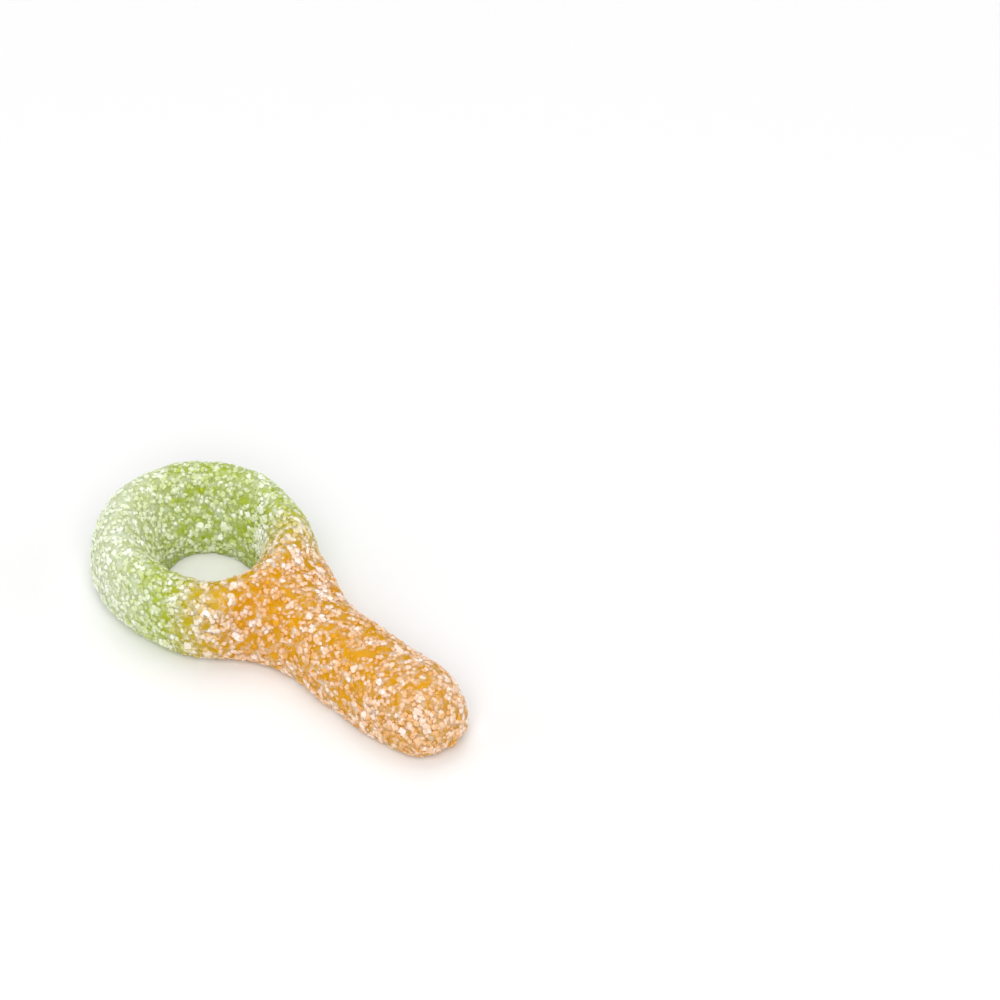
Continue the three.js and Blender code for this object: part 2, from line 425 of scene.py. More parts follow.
@dataclass(frozen=True)
class CoatPattern:
    """How the coat varies: a crust with gaps that show the gel, white crowns and a paler, hazier
    side of the ring.

    Attributes:
        centre: the ring's middle.
        pale_angle: the side of the ring, from the stem's, where the coat turns to a whitish haze.
        pale_band: how far from the middle that haze starts and is palest.
        speck_pitch: the distance from one white speck or gap to the next.
        grain_pitch: the size of the grains that give the specks their ragged edges.
        ragged: how far those grains shift the edges.
        bare_below: the noise under which the gel is bare.
        white_above: the noise over which the coat is whitest.
        steepness: how slowly the whiteness sets in between the two.
        stem_contrast: how far the stem moves the two.
        pale_fill: how far the pale side moves bare_below.
        near_thinned: how far the near side, which ends in near_band, moves both.
        root_band: the x from the ring's middle where the stem's pattern sets in.
        tip_band: the x where it fades to tip_share.
        haze: the frosting of the pale side, and how much of the noise it keeps.
        haze_share: how far it hides the pattern there.
        crust_rise: the frosting where the crust closes, from crust_least.
        crown_rise: the whiteness where the white crowns close.
        coat_and_shade_patches: where the coat is thicker or thinner, partly the sweet's own coat
            and partly painted light and shade.
    """

    centre: Vector
    pale_angle: float = math.radians(216)
    pale_band: Pair = (3 * MM, 11 * MM)
    speck_pitch: float = 1.0 * MM
    grain_pitch: float = 0.45 * MM
    ragged: float = 0.12
    bare_below: float = 0.26
    white_above: float = 0.73
    steepness: float = 1.6
    stem_contrast: Pair = (0.11, -0.1)
    pale_fill: float = -0.07
    near_thinned: float = 0.02
    near_band: Pair = (-6 * MM, 4 * MM)
    root_band: Pair = (-2 * MM, 9 * MM)
    tip_band: Pair = (27 * MM, 34 * MM)
    tip_share: float = 0.2
    haze: Pair = (0.58, 0.8)
    haze_share: float = 0.7
    crust_rise: Pair = (0.02, 0.28)
    crust_least: float = 0.18
    crown_rise: Pair = (0.3, 0.9)
    # Partly painted light and shade: the thinned coat on the tops of ring, root and stem and on the
    # ring's right rim darkens them as shade would, and the thickened coat on the ring's near wall
    # and the tip's right side lightens them as light would. The pale patch in the funnel is the
    # coat's own.
    coat_and_shade_patches: tuple[CoatAndShadePatch, ...] = (
        CoatAndShadePatch((3.5, 4.6, 5.0), 3.0, 0.2),
        CoatAndShadePatch((5.8, 7.2, 8.8), 4.0, -0.05),
        CoatAndShadePatch((12.5, -2.5, 7.0), 5.0, -0.055),
        CoatAndShadePatch((24.5, -2.0, 7.5), 5.5, -0.05),
        CoatAndShadePatch((35.5, 1.5, 4.5), 3.5, 0.05),
        CoatAndShadePatch((8.7, -8.3, 6.5), 2.8, 0.06),
        CoatAndShadePatch((-9.6, -1.0, 8.7), 4.0, -0.04),
    )

    def group(self, kind: Tree) -> NodeTree:
        """Builds the pattern as a node group, the same for the finish and for the strewing.

        Args:
            kind: the kind of tree that it is for.

        Returns:
            A group that puts out the frosting and the share that each kind of sugar covers.
        """
        outputs = dict.fromkeys((FROSTING, *(lie.value for lie in Lie)), "Float")
        bench = new_group(f"coat_pattern_{kind.name.lower()}", kind, {}, outputs)
        if kind is Tree.SHADER:
            place = bench.add("ShaderNodeTexCoord").outputs["Object"]
        else:
            place = bench.add("GeometryNodeInputPosition").outputs[0]
        # One side of the ring turns to a paler, whitish haze with fewer crystals.
        pale_way = Vector((math.cos(self.pale_angle), math.sin(self.pale_angle), 0))
        aligned = bench.add("ShaderNodeVectorMath", {0: place, 1: pale_way},
                            operation="DOT_PRODUCT").outputs["Value"]
        start = self.centre.dot(pale_way)
        pale = bench.ramp(aligned, *(start + away for away in self.pale_band))
        axes = bench.add("ShaderNodeSeparateXYZ", {0: place})
        along = axes.outputs["X"]
        near_side = bench.ramp(axes.outputs["Y"], *self.near_band, 1.0, 0.0)
        past_ring = bench.ramp(along, *(self.centre.x + x for x in self.root_band))
        to_tip = bench.ramp(along, *(self.centre.x + x for x in self.tip_band), 1.0, self.tip_share)
        on_stem = bench.maths("MULTIPLY", past_ring, to_tip)
        specks = bench.add("ShaderNodeTexNoise", {"Vector": place, "Scale": 1 / self.speck_pitch,
                                                  "Detail": 3.0, "Roughness": 0.6})
        cells = bench.add("ShaderNodeTexVoronoi", {"Vector": place, "Scale": 1 / self.grain_pitch})
        cell = bench.add("ShaderNodeSeparateXYZ", {0: cells.outputs["Color"]}).outputs["X"]
        off_middle = bench.maths("SUBTRACT", cell, 0.5)
        speck = bench.maths("MULTIPLY_ADD", off_middle, self.ragged, specks.outputs[0])
        # The patches thin or thicken the coat: partly the sweet's own coat, partly painted shade on
        # tops and painted light on sides.
        coat_and_shade_patches = [(self.cover(bench, place, patch), -patch.more) for patch in self.coat_and_shade_patches]
        sides = ((near_side, self.near_thinned), *coat_and_shade_patches)
        least = bench.shade(self.bare_below, (on_stem, self.stem_contrast[0]),
                            (pale, self.pale_fill), *sides)
        most = bench.shade(self.white_above, (on_stem, self.stem_contrast[1]), *sides)
        share = bench.add("ShaderNodeMapRange", {0: speck, 1: least, 2: most}).outputs[0]
        own = bench.maths("POWER", share, self.steepness)
        haze = bench.maths("MULTIPLY_ADD", speck, self.haze[1], self.haze[0])
        hazy = bench.maths("MULTIPLY", pale, self.haze_share)
        frosting = bench.maths("MULTIPLY_ADD", bench.maths("SUBTRACT", haze, own), hazy, own)
        bench.add("NodeGroupOutput", {
            FROSTING: frosting,
            Lie.CRUST.value: bench.ramp(frosting, *self.crust_rise, self.crust_least, 1.0),
            Lie.CROWN.value: bench.ramp(own, *self.crown_rise),
            Lie.DRIFT.value: pale,
        })
        return bench.tree

    def cover(self, bench: NodeBench, place: Any, patch: CoatAndShadePatch) -> Any:
        """Adds the nodes of one patch.

        Args:
            bench: the bench of the group's tree.
            place: the socket of the place on the gel.
            patch: the patch.

        Returns:
            The socket of how far a place lies in the patch, from 0 to 1.
        """
        middle = self.centre + Vector(patch.place) * MM
        away = bench.add("ShaderNodeVectorMath", {0: place, 1: middle}, operation="DISTANCE")
        full = 0.2 * patch.reach * MM
        return bench.ramp(away.outputs["Value"], full, patch.reach * MM, 1.0, 0.0)


@dataclass(frozen=True)
class SugaredColours:
    """The colour of gel and sugar together: each in its end's own tint, mixed by the frosting.

    Attributes:
        poured: the node group of the two colours.
        drying: the frosting from which and to which sugar loses its tint.
    """

    poured: ShaderNodeTree
    drying: Pair = (0.9, 1.4)

    def group(self) -> ShaderNodeTree:
        """Builds the node group.

        Returns:
            A group that takes the frosting, from 0 for bare gel over 1 for wetted sugar to 1.4
            for dry sugar, and puts out the colour.
        """
        bench = new_group("sugared_colours", Tree.SHADER, {FROSTING: "Float"}, {"Colour": "Color"})
        frosting = bench.add("NodeGroupInput").outputs[FROSTING]
        gel = self.ends(bench, Hue.GREEN_GEL, Hue.AMBER_GEL)
        wetted = self.ends(bench, Hue.GREEN_SUGAR, Hue.AMBER_SUGAR)
        frosted = bench.blend(frosting, gel, wetted)
        dryness = bench.ramp(frosting, *self.drying)
        bench.add("NodeGroupOutput", {"Colour": bench.blend(dryness, frosted, Hue.SUGAR.value)})
        return bench.tree

    def ends(self, bench: NodeBench, green_end: Hue, amber_end: Hue) -> Any:
        """Adds the two poured colours with the hues of ring and stem, and returns their socket."""
        colours = {"Green End": green_end.value, "Amber End": amber_end.value}
        return bench.add("ShaderNodeGroup", colours, node_tree=self.poured).outputs["Colour"]


@dataclass(frozen=True)
class GelFinish:
    """The gel: saturated and softly glossy in the gaps, and frosted with half dissolved sugar.

    Attributes:
        colours: the node group of gel and sugar together.
        coat: the node group of the coat's pattern.
        frosted: how far the frosting whitens the gel itself.
        depth: how far light travels in the gel.
        roughness: the roughness of the bare gel and of the frosted gel.
        grain_pitch: the size of the frost's grains.
        grain_height: how far they stand out.
    """

    colours: ShaderNodeTree
    coat: ShaderNodeTree
    frosted: float = 0.75
    depth: float = 4 * MM
    roughness: Pair = (0.25, 0.6)
    grain_pitch: float = 0.45 * MM
    grain_height: float = 0.12 * MM

    def material(self) -> Material:
        """Builds the gel's material.

        Returns:
            The material.
        """
        material, bench, shader = new_material("two_colour_gel")
        place = bench.add("ShaderNodeTexCoord").outputs["Object"]
        frosting = bench.add("ShaderNodeGroup", node_tree=self.coat).outputs[FROSTING]
        dulled = bench.maths("MULTIPLY", frosting, self.frosted)
        mixed = bench.add("ShaderNodeGroup", {FROSTING: dulled}, node_tree=self.colours)
        cells = bench.add("ShaderNodeTexVoronoi", {"Vector": place, "Scale": 1 / self.grain_pitch})
        dome = bench.ramp(cells.outputs["Distance"], 0.1, 0.75, 1.0, 0.0)
        rough = bench.ramp(frosting, 0.0, 0.5, *self.roughness)
        height = bench.maths("MULTIPLY", frosting, bench.maths("ADD", dome, 0.6))
        relief = bench.add("ShaderNodeBump", {"Height": height, "Distance": self.grain_height})
        bench.feed(shader, {
            "Base Color": mixed.outputs["Colour"],
            "Roughness": rough,
            "Normal": relief.outputs["Normal"],
            "IOR": 1.42,
            "Specular IOR Level": 0.15,
            "Subsurface Weight": 0.7,
            "Subsurface Radius": (1.0, 0.85, 0.65),
            "Subsurface Scale": self.depth,
        })
        return material


@dataclass(frozen=True)
class SugarFinish:
    """Sugar crystals, each of one tone: tinted where gel has wetted them, white where dry.

    Attributes:
        name: the material's name.
        colours: the node group of gel and sugar together.
        roughness: the roughness of the smoothest faces and of the most scratched.
        foot: the frosting at a crystal's foot, as a share of its top's. This is partly gel that has
            crept up the foot and partly painted light: the gel's colour stands in for light that
            shines through the clear crystal into the shaded crevices.
        creep_and_glow: how far up the foot's gel tint reaches, from its full tint to none.
    """

    name: str
    colours: ShaderNodeTree
    roughness: Pair = (0.3, 0.6)
    foot: float = 0.62
    creep_and_glow: Pair = (0.15, 0.75)

    def material(self) -> Material:
        """Builds the sugar's material.

        Returns:
            The material.
        """
        material, bench, shader = new_material(self.name)
        tone = bench.add("ShaderNodeAttribute", attribute_name=TONE).outputs["Fac"]
        rise = bench.add("ShaderNodeAttribute", attribute_name=RISE).outputs["Fac"]
        # Painted light: a crystal's foot takes more of the gel's colour. This is partly wetted
        # sugar and partly the gel's light glowing through the clear crystal into the shade at its
        # foot.
        foot_glow_tone = bench.maths("MULTIPLY", tone, bench.ramp(rise, *self.creep_and_glow, self.foot, 1.0))
        mixed = bench.add("ShaderNodeGroup", {FROSTING: foot_glow_tone}, node_tree=self.colours)
        place = bench.add("ShaderNodeTexCoord").outputs["Object"]
        scratch = bench.add("ShaderNodeTexNoise", {"Vector": place, "Scale": 9000.0, "Detail": 1.0})
        bench.feed(shader, {
            "Base Color": mixed.outputs["Colour"],
            "Roughness": bench.ramp(scratch.outputs[0], 0.3, 0.7, *self.roughness),
            "IOR": 1.54,
            "Specular IOR Level": 0.25,
        })
        return material


# The gel


@dataclass
class GelBody:
    """The gel itself: a tall ring with a domed stem, poured in one and drawn into one skin.

    Lengths are in metres, from the ring's middle, with x along the stem. A pull is a move and
    how far round about the gel moves with it.

    Attributes:
        centre: the ring's middle in the part's frame.
        rim_pushes: the angle in degrees, the amount and the reach of pushes on the outer wall.
        side_pushes: the x, the side and the amount of pushes on the stem.
        relief: the name, pitch, depth and middle level of each kind of unevenness.
    """

    centre: Vector
    ring_radius: float = 12.42 * MM
    crest_radius: float = 9.2 * MM
    hole_radius: float = 5.05 * MM
    hole_pull: Pull = ((0.4 * MM, 0, 0), 4 * MM)
    ring_height: float = 8.85 * MM
    ring_squash: float = 0.916
    rim_power: float = 2.4
    funnel_power: float = 1.8
    ring_steps: int = 96
    rim_pushes: tuple[Triple, ...] = (
        (222, 0.5 * MM, 11 * MM),
        (70, -0.35 * MM, 7 * MM),
        (42, 0.2 * MM, 6 * MM),
        (-42, 0.8 * MM, 6 * MM),
    )
    stem_start: float = 8.5 * MM
    stem_tip: float = 36.6 * MM
    stem_width: float = 9.1 * MM
    stem_height: float = 7.85 * MM
    stem_power: float = 2.35
    stem_steps: int = 40
    step_bias: float = 1.5
    root_flare: float = 1.7 * MM
    root_rise: float = 0.65 * MM
    root_widest: float = 9.8 * MM
    root_length: float = 3.9 * MM
    crease_radius: float = 12 * MM
    crease_width: float = 2.6 * MM
    tip_swell: float = 0.6 * MM
    tip_length: float = 6.4 * MM
    tip_powers: Pair = (2.4, 2.6)
    tip_pull: Pull = ((-0.1 * MM, 0.6 * MM, 0), 5 * MM)
    tip_foot: float = 2.5 * MM
    foot_pull: Pull = ((-1.6 * MM, 0, 0), 2.6 * MM)
    side_pushes: tuple[tuple[float, int, float], ...] = (
        (12 * MM, 1, 0.9 * MM),
        (15 * MM, -1, 0.75 * MM),
        (26 * MM, 1, 0.25 * MM),
        (33 * MM, -1, 0.65 * MM),
        (33.5 * MM, 1, -0.2 * MM),
    )
    side_reach: float = 6 * MM
    widest: float = 2.1 * MM
    edge_inset: float = 4.2 * MM
    trim: float = 0.5 * MM
    ring_tilt: float = math.radians(0.6)
    skin_pitch: float = 0.2 * MM
    back_clearance: float = 0.12 * MM
    corner_steps: int = 12
    relief: tuple[tuple[str, float, float, float], ...] = (
        ("lumps", 5.5 * MM, 0.45 * MM, 0.5),
        ("pits", 0.8 * MM, 0.24 * MM, 0.6),
    )

    def build(self, material: Material) -> Object:
        """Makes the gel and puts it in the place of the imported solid.

        Args:
            material: the gel's material.

        Returns:
            The finished gel.
        """
        gel = self.ring()
        stem = self.stem()
        take_up(gel)
        stem.select_set(True)
        bpy.ops.object.join()
        apply_modifier(gel, "REMESH", mode="VOXEL", voxel_size=self.skin_pitch)
        self.blend_root(gel)
        apply_modifier(gel, "SMOOTH", factor=0.5, iterations=6)
        self.add_lumps(gel)
        flatten_below(gel, self.back_clearance)
        bpy.ops.object.shade_smooth()
        dress(gel, "two_colour_gel", material)
        return gel

    def section(self, left: float, right: float, crest: float, height: float, powers: Pair,
                left_foot: bool) -> Object:
        """Makes the outline of a section in the XZ plane, from a plane with rounded corners.

        Args:
            left: the least x.
            right: the greatest x.
            crest: the x of the highest point.
            height: the height over the back.
            powers: the superellipse powers of the upper left and the upper right corner.
            left_foot: whether the left side is tucked in at the back, as the right side is.

        Returns:
            The outline, closed and without its face.
        """
        low = -self.trim
        middle = ((left + right) / 2, 0, (height + low) / 2)
        bpy.ops.mesh.primitive_plane_add(size=1, location=middle, rotation=(math.pi / 2, 0, 0))
        outline = bpy.context.active_object
        outline.scale = (right - left, height - low, 1)
        fix_place(outline)
        with editing(outline):
            self.add_point(outline, (left, height), (right, height), (crest, height))
            self.add_point(outline, (right, low), (right, height), (right, self.widest))
            self.add_point(outline, (left, low), (right, low), (right - self.edge_inset, low))
            corners = [((right, height), powers[1]), ((left, height), powers[0]),
                       ((right, low), 2.0)]
            if left_foot:
                self.add_point(outline, (left, low), (left, height), (left, self.widest))
                foot = (left + self.edge_inset, low)
                self.add_point(outline, (left, low), (right - self.edge_inset, low), foot)
                corners.append(((left, low), 2.0))
            for (x, z), power in corners:
                pick(outline, near(x, None, z))
                bpy.ops.mesh.bevel(offset_type="PERCENT", offset_pct=100, affect="VERTICES",
                                   segments=self.corner_steps, profile=0.25 ** (1 / power))
            select_all()
            bpy.ops.mesh.delete(type="ONLY_FACE")
            select_all()
            bpy.ops.mesh.remove_doubles(threshold=WELD)
        return outline

    def add_point(self, outline: Object, start: Pair, end: Pair, place: Pair) -> None:
        """Splits the edge between two corners of an outline and moves the new point.

        Args:
            outline: the outline, open in edit mode.
            start: x and z of one end of the edge.
            end: x and z of the other end.
            place: x and z of the new point.
        """
        ends = (near(start[0], None, start[1]), near(end[0], None, end[1]))
        pick(outline, lambda at: any(test(at) for test in ends))
        bpy.ops.mesh.subdivide(number_cuts=1)
        halfway = ((start[0] + end[0]) / 2, (start[1] + end[1]) / 2)
        pick(outline, near(halfway[0], None, halfway[1]))
        shift = (place[0] - halfway[0], 0, place[1] - halfway[1])
        bpy.ops.transform.translate(value=shift)

    def ring(self) -> Object:
        """Spins the ring from its section, squashes it to an oval and fills its shoulders.

        Returns:
            The ring, closed.
        """
        ring = self.section(self.hole_radius, self.ring_radius, self.crest_radius, self.ring_height,
                            (self.funnel_power, self.rim_power), left_foot=False)
        with editing(ring):
            select_all()
            bpy.ops.mesh.spin(steps=self.ring_steps, angle=2 * math.pi, center=(0, 0, 0),
                              axis=(0, 0, 1))
            select_all()
            bpy.ops.mesh.remove_doubles(threshold=WELD)
            bpy.ops.mesh.normals_make_consistent(inside=False)
            bpy.ops.transform.resize(value=(1, self.ring_squash, 1), center_override=(0, 0, 0))
            for degrees, amount, reach in self.rim_pushes:
                self.push_rim(ring, math.radians(degrees), amount, reach)
            pick(ring, lambda at: math.hypot(at.x, at.y) < self.hole_radius + 0.3 * MM)
            pull(*self.hole_pull)
            select_all()
            bpy.ops.transform.rotate(value=self.ring_tilt, orient_axis="Y",
                                     center_override=(0, 0, 0))
        self.move_to_place(ring)
        return ring

    def push_rim(self, ring: Object, angle: float, amount: float, reach: float) -> None:
        """Pushes the outer wall of the ring outwards about one angle, with a soft edge.

        Args:
            ring: the ring, open in edit mode.
            angle: where on the ring, from the stem's side, in radians.
            amount: how far outwards.
            reach: the radius of the part that moves.
        """
        way = Vector((math.cos(angle), math.sin(angle), 0))
        half_step = math.pi / self.ring_steps
        outside = (self.crest_radius + self.ring_radius) / 2
        pick(ring, lambda at: at.xy.angle(way.xy) <= half_step * 1.2
             and math.hypot(at.x, at.y / self.ring_squash) > outside)
        pull(way * amount, reach)

    def stem_size(self, x: float) -> Pair:
        """The stem's size without the rounding of its tip.

        Args:
            x: the distance from the ring's middle.

        Returns:
            The half width and the height there.
        """
        root = math.exp(-(max(x, self.root_widest) - self.ring_radius) / self.root_length)
        tip = math.exp(-(((x - self.stem_tip + self.stem_width / 2) / self.tip_length) ** 2))
        rise = self.root_rise * math.exp(-(x - self.stem_start) / self.root_length)
        half_width = self.stem_width / 2 + self.root_flare * root + self.tip_swell * tip
        return half_width, self.stem_height + rise

    def stem(self) -> Object:
        """Draws the stem out of its section, step by step, and closes it in a blunt tip.

        Returns:
            The stem, closed.
        """
        half_width, height = self.stem_size(self.stem_start)
        stem = self.section(-half_width, half_width, 0, height, (self.stem_power,) * 2,
                            left_foot=True)
        stem.rotation_euler = (0, 0, math.pi / 2)
        stem.location = (self.stem_start, 0, 0)
        fix_place(stem)
        reached, size = self.stem_start, (half_width, height)
        with editing(stem):
            select_all()
            bpy.ops.mesh.edge_face_add()
            for step in range(1, self.stem_steps + 1):
                share = 1 - (1 - step / self.stem_steps) ** self.step_bias
                x = self.stem_start + (self.stem_tip - self.stem_start) * share
                move = {"value": (x - reached, 0, 0)}
                bpy.ops.mesh.extrude_region_move(TRANSFORM_OT_translate=move)
                if step == self.stem_steps:
                    bpy.ops.mesh.merge(type="CENTER")
                    break
                in_tip = max(0.0, (x - self.stem_tip + self.tip_length) / self.tip_length)
                now = tuple(full * (1 - in_tip**power) ** (1 / power)
                            for full, power in zip(self.stem_size(x), self.tip_powers))
                ratio = (1, now[0] / size[0], (now[1] + self.trim) / (size[1] + self.trim))
                bpy.ops.transform.resize(value=ratio, center_override=(x, 0, -self.trim))
                reached, size = x, now
            pick(stem, near(self.stem_start, None, None))
            bpy.ops.mesh.edge_face_add()
            select_all()
            bpy.ops.mesh.normals_make_consistent(inside=False)
            self.make_crooked(stem)
        self.move_to_place(stem)
        return stem

    def make_crooked(self, stem: Object) -> None:
        """Makes the stem as crooked as a real one: a skew tip, a drawn back foot, pushed sides.

        Args:
            stem: the stem, open in edit mode.
        """
        pick(stem, lambda at: at.x > self.stem_tip - 0.05 * MM)
        pull(*self.tip_pull)
        pick(stem, lambda at: at.x > self.stem_tip - self.tip_foot and at.z < 0)
        pull(*self.foot_pull, "SHARP")
        for x, side, amount in self.side_pushes:
            half_width, _ = self.stem_size(x)
            pick(stem, lambda at: abs(at.x - x) < 0.6 * MM and side * at.y > 0.9 * half_width)
            pull((0, amount, 0), self.side_reach)

    def move_to_place(self, piece: Object) -> None:
        """Moves a piece from the ring's own frame to the part's, into its mesh."""
        piece.location = self.centre
        fix_place(piece)

    def blend_root(self, gel: Object) -> None:
        """Draws the crease between ring and stem into a soft fillet.

        Args:
            gel: the joined gel.
        """
        group = gel.vertex_groups.new(name="root")
        for vertex in gel.data.vertices:
            at = vertex.co - self.centre
            off = (math.hypot(at.x, at.y) - self.crease_radius) / self.crease_width
            if at.x > 0.7 * abs(at.y) and at.z > self.skin_pitch:
                group.add([vertex.index], math.exp(-(off**2)), "REPLACE")
        apply_modifier(gel, "SMOOTH", factor=0.6, iterations=60, vertex_group="root")

    def add_lumps(self, gel: Object) -> None:
        """Makes the gel's surface uneven: slow lumps, and pits that the sugar has pressed.

        Args:
            gel: the smooth gel.
        """
        for name, pitch, depth, level in self.relief:
            texture = bpy.data.textures.new(name, "CLOUDS")
            texture.noise_scale = pitch
            texture.noise_depth = 1
            apply_modifier(gel, "DISPLACE", texture=texture, strength=depth, mid_level=level)
            bpy.data.textures.remove(texture)


# The sugar


class Cut(Enum):
    """What a crystal is cut from."""

    BLOCK = "block"
    CRUMB = "crumb"


@dataclass(frozen=True)
class CrystalShape:
    """A sugar crystal in a few different cuts: a block with broken edges, or a rounded crumb.

    Attributes:
        cut: what it is cut from.
        cuts: how many different crystals are made.
        chamfer: how much of each edge of a block is broken off, or 0 for a plain block.
        crook: how far the corners are moved, as a share of the crystal's size.
    """

    cut: Cut
    cuts: int = 5
    chamfer: float = 0.22
    crook: float = 0.1

    def collection(self, name: str, seed: int) -> Collection:
        """Makes the crystals, one unit across, in a collection of their own.

        Args:
            name: the collection's name.
            seed: the seed of the first crystal.

        Returns:
            The collection, which isn't part of the scene.
        """
        crystals = bpy.data.collections.new(name)
        for number in range(self.cuts):
            crystal = self.crystal(number, seed)
            for shown_in in crystal.users_collection:
                shown_in.objects.unlink(crystal)
            crystals.objects.link(crystal)
        return crystals

    def crystal(self, number: int, seed: int) -> Object:
        """Makes one crystal.

        Args:
            number: which of the cuts this is.
            seed: the seed of the first crystal.

        Returns:
            The crystal, in the scene.
        """
        clear_selection()
        if self.cut is Cut.BLOCK:
            bpy.ops.mesh.primitive_cube_add(size=0.9)
        else:
            bpy.ops.mesh.primitive_ico_sphere_add(subdivisions=2, radius=0.5)
        crystal = bpy.context.active_object
        crystal.scale = (1, 0.74 + 0.08 * (number % 4), 0.62 + 0.1 * (number % 3))
        fix_place(crystal)
        with editing(crystal):
            select_all()
            if self.cut is Cut.BLOCK and self.chamfer:
                bpy.ops.mesh.bevel(offset=self.chamfer / 2, segments=1, affect="EDGES")
            select_all()
            bpy.ops.transform.vertex_random(offset=self.crook, seed=seed + number)
            if self.cut is Cut.CRUMB:
                select_all()
                bpy.ops.mesh.bisect(plane_co=(0, 0, -0.12), plane_no=(0, 0, 1), use_fill=True,
                                    clear_inner=True)
                select_all()
            bpy.ops.mesh.quads_convert_to_tris()
        if self.cut is Cut.CRUMB:
            bpy.ops.object.shade_smooth()
        self.mark_rise(crystal)
        return crystal

    def mark_rise(self, crystal: Object) -> None:
        """Writes into a crystal's mesh how high each vertex lies, from 0 at the foot to 1 on top.

        Args:
            crystal: the finished crystal.
        """
        heights = [vertex.co.z for vertex in crystal.data.vertices]
        low, high = min(heights), max(heights)
        rises = crystal.data.attributes.new(RISE, "FLOAT", "POINT")
        for mark, height in zip(rises.data, heights):
            mark.value = (height - low) / (high - low)


@dataclass
class SugarLayer:
    """One size of sugar, strewn over the gel.

    Attributes:
        name: the piece's name.
        material: the sugar's material.
        shape: the crystal.
        pattern: the node group of the coat's pattern.
        lie: where the layer lies.
        sizes: the least and the greatest size of a crystal, in metres.
        per_mm2: how many lie on a square millimetre where the coat is thickest.
        sink: how deep a crystal's middle lies under the gel, as a share of its size.
        flat: a crystal's height as a share of its size.
        follow: how closely the crystals take the frosting of the gel under them.
        extra: how much whiter than that they are, from the wettest crystal to the driest.
        on_pale_side: how much more of it lies on the ring's pale side, as a share of per_mm2.
        seed: the seed of all that is random.
        tilt: how far a crystal may lean, in radians.
        foot_band: the height over which crystals grow to full size, from foot_size of it.
    """

    name: str
    material: Material
    shape: CrystalShape
    pattern: GeometryNodeTree
    lie: Lie
    sizes: Pair
    per_mm2: float
    sink: float
    flat: float
    follow: float
    extra: Pair
    on_pale_side: float
    seed: int
    tilt: float = 0.45
    foot_band: Pair = (0.1 * MM, 0.9 * MM)
    foot_size: float = 0.45

    def strew(self, gel: Object) -> Object:
        """Strews the layer over the gel and joins it in one mesh.

        Args:
            gel: the finished gel.

        Returns:
            The layer's piece.
        """
        crystals = self.shape.collection(self.name, self.seed)
        clear_selection()
        piece = gel.copy()
        piece.data = gel.data.copy()
        bpy.context.scene.collection.objects.link(piece)
        apply_modifier(piece, "NODES", node_group=self.tree(crystals))
        flatten_below(piece, 0)
        for crystal in list(crystals.objects):
            bpy.data.objects.remove(crystal)
        bpy.data.collections.remove(crystals)
        dress(piece, self.name, self.material)
        return piece

    def tree(self, crystals: Collection) -> GeometryNodeTree:
        """Builds the geometry nodes that strew the crystals.

        Args:
            crystals: the collection of crystals to pick from.

        Returns:
            The node tree.
        """
        geometry = {"Geometry": "Geometry"}
        bench = new_group(self.name, Tree.GEOMETRY, geometry, geometry)
        surface = bench.add("NodeGroupInput").outputs[0]
        pattern = bench.add("GeometryNodeGroup", node_tree=self.pattern)
        share = bench.maths("MULTIPLY_ADD", pattern.outputs[Lie.DRIFT.value], self.on_pale_side,
                            pattern.outputs[self.lie.value])
        cover = bench.maths("MULTIPLY", share, self.per_mm2 / MM**2)
        kept = bench.add("GeometryNodeCaptureAttribute", domain="POINT")
        kept.capture_items.new("FLOAT", FROSTING)
        bench.feed(kept, {0: surface, 1: pattern.outputs[FROSTING]})
        spread = {"Mesh": kept.outputs[0], "Density": cover, "Seed": self.seed}
        points = bench.add("GeometryNodeDistributePointsOnFaces", spread,
                           distribute_method="RANDOM")
        place = bench.add("GeometryNodeInputPosition").outputs[0]
        rise = bench.add("ShaderNodeSeparateXYZ", {0: place}).outputs["Z"]
        low = bench.ramp(rise, *self.foot_band, self.foot_size, 1.0)
        size = bench.maths("MULTIPLY", self.draw(bench, *self.sizes, 1), low)
        depth = bench.maths("MULTIPLY", size, -self.sink)
        shift = bench.add("ShaderNodeVectorMath", {0: points.outputs["Normal"], "Scale": depth},
                          operation="SCALE").outputs[0]
        placed = bench.add("GeometryNodeSetPosition",
                           {"Geometry": points.outputs["Points"], "Offset": shift})
        picked = {"Collection": crystals, "Separate Children": True, "Reset Children": True}
        pool = bench.add("GeometryNodeCollectionInfo", picked)
        least, most = (-self.tilt, -self.tilt, 0), (self.tilt, self.tilt, math.tau)
        turn = bench.add("FunctionNodeRandomValue", {0: least, 1: most, "Seed": self.seed + 2},
                         data_type="FLOAT_VECTOR")
        turned = bench.add("FunctionNodeRotateRotation",
                           {0: points.outputs["Rotation"], 1: turn.outputs[0]},
                           rotation_space="LOCAL")
        flattened = bench.add("ShaderNodeCombineXYZ",
                              {0: size, 1: size, 2: bench.maths("MULTIPLY", size, self.flat)})
        copies = bench.add("GeometryNodeInstanceOnPoints",
                           {"Points": placed.outputs[0], "Instance": pool.outputs[0],
                            "Pick Instance": True, "Rotation": turned.outputs[0],
                            "Scale": flattened.outputs[0]})
        dryness = self.draw(bench, *self.extra, 3)
        tone = bench.maths("MULTIPLY_ADD", kept.outputs[1], self.follow, dryness)
        marked = bench.add("GeometryNodeStoreNamedAttribute",
                           {"Geometry": copies.outputs[0], "Name": TONE, "Value": tone},
                           data_type="FLOAT", domain="INSTANCE")
        real = bench.add("GeometryNodeRealizeInstances", {0: marked.outputs[0]})
        bench.add("NodeGroupOutput", {0: real.outputs[0]})
        return bench.tree

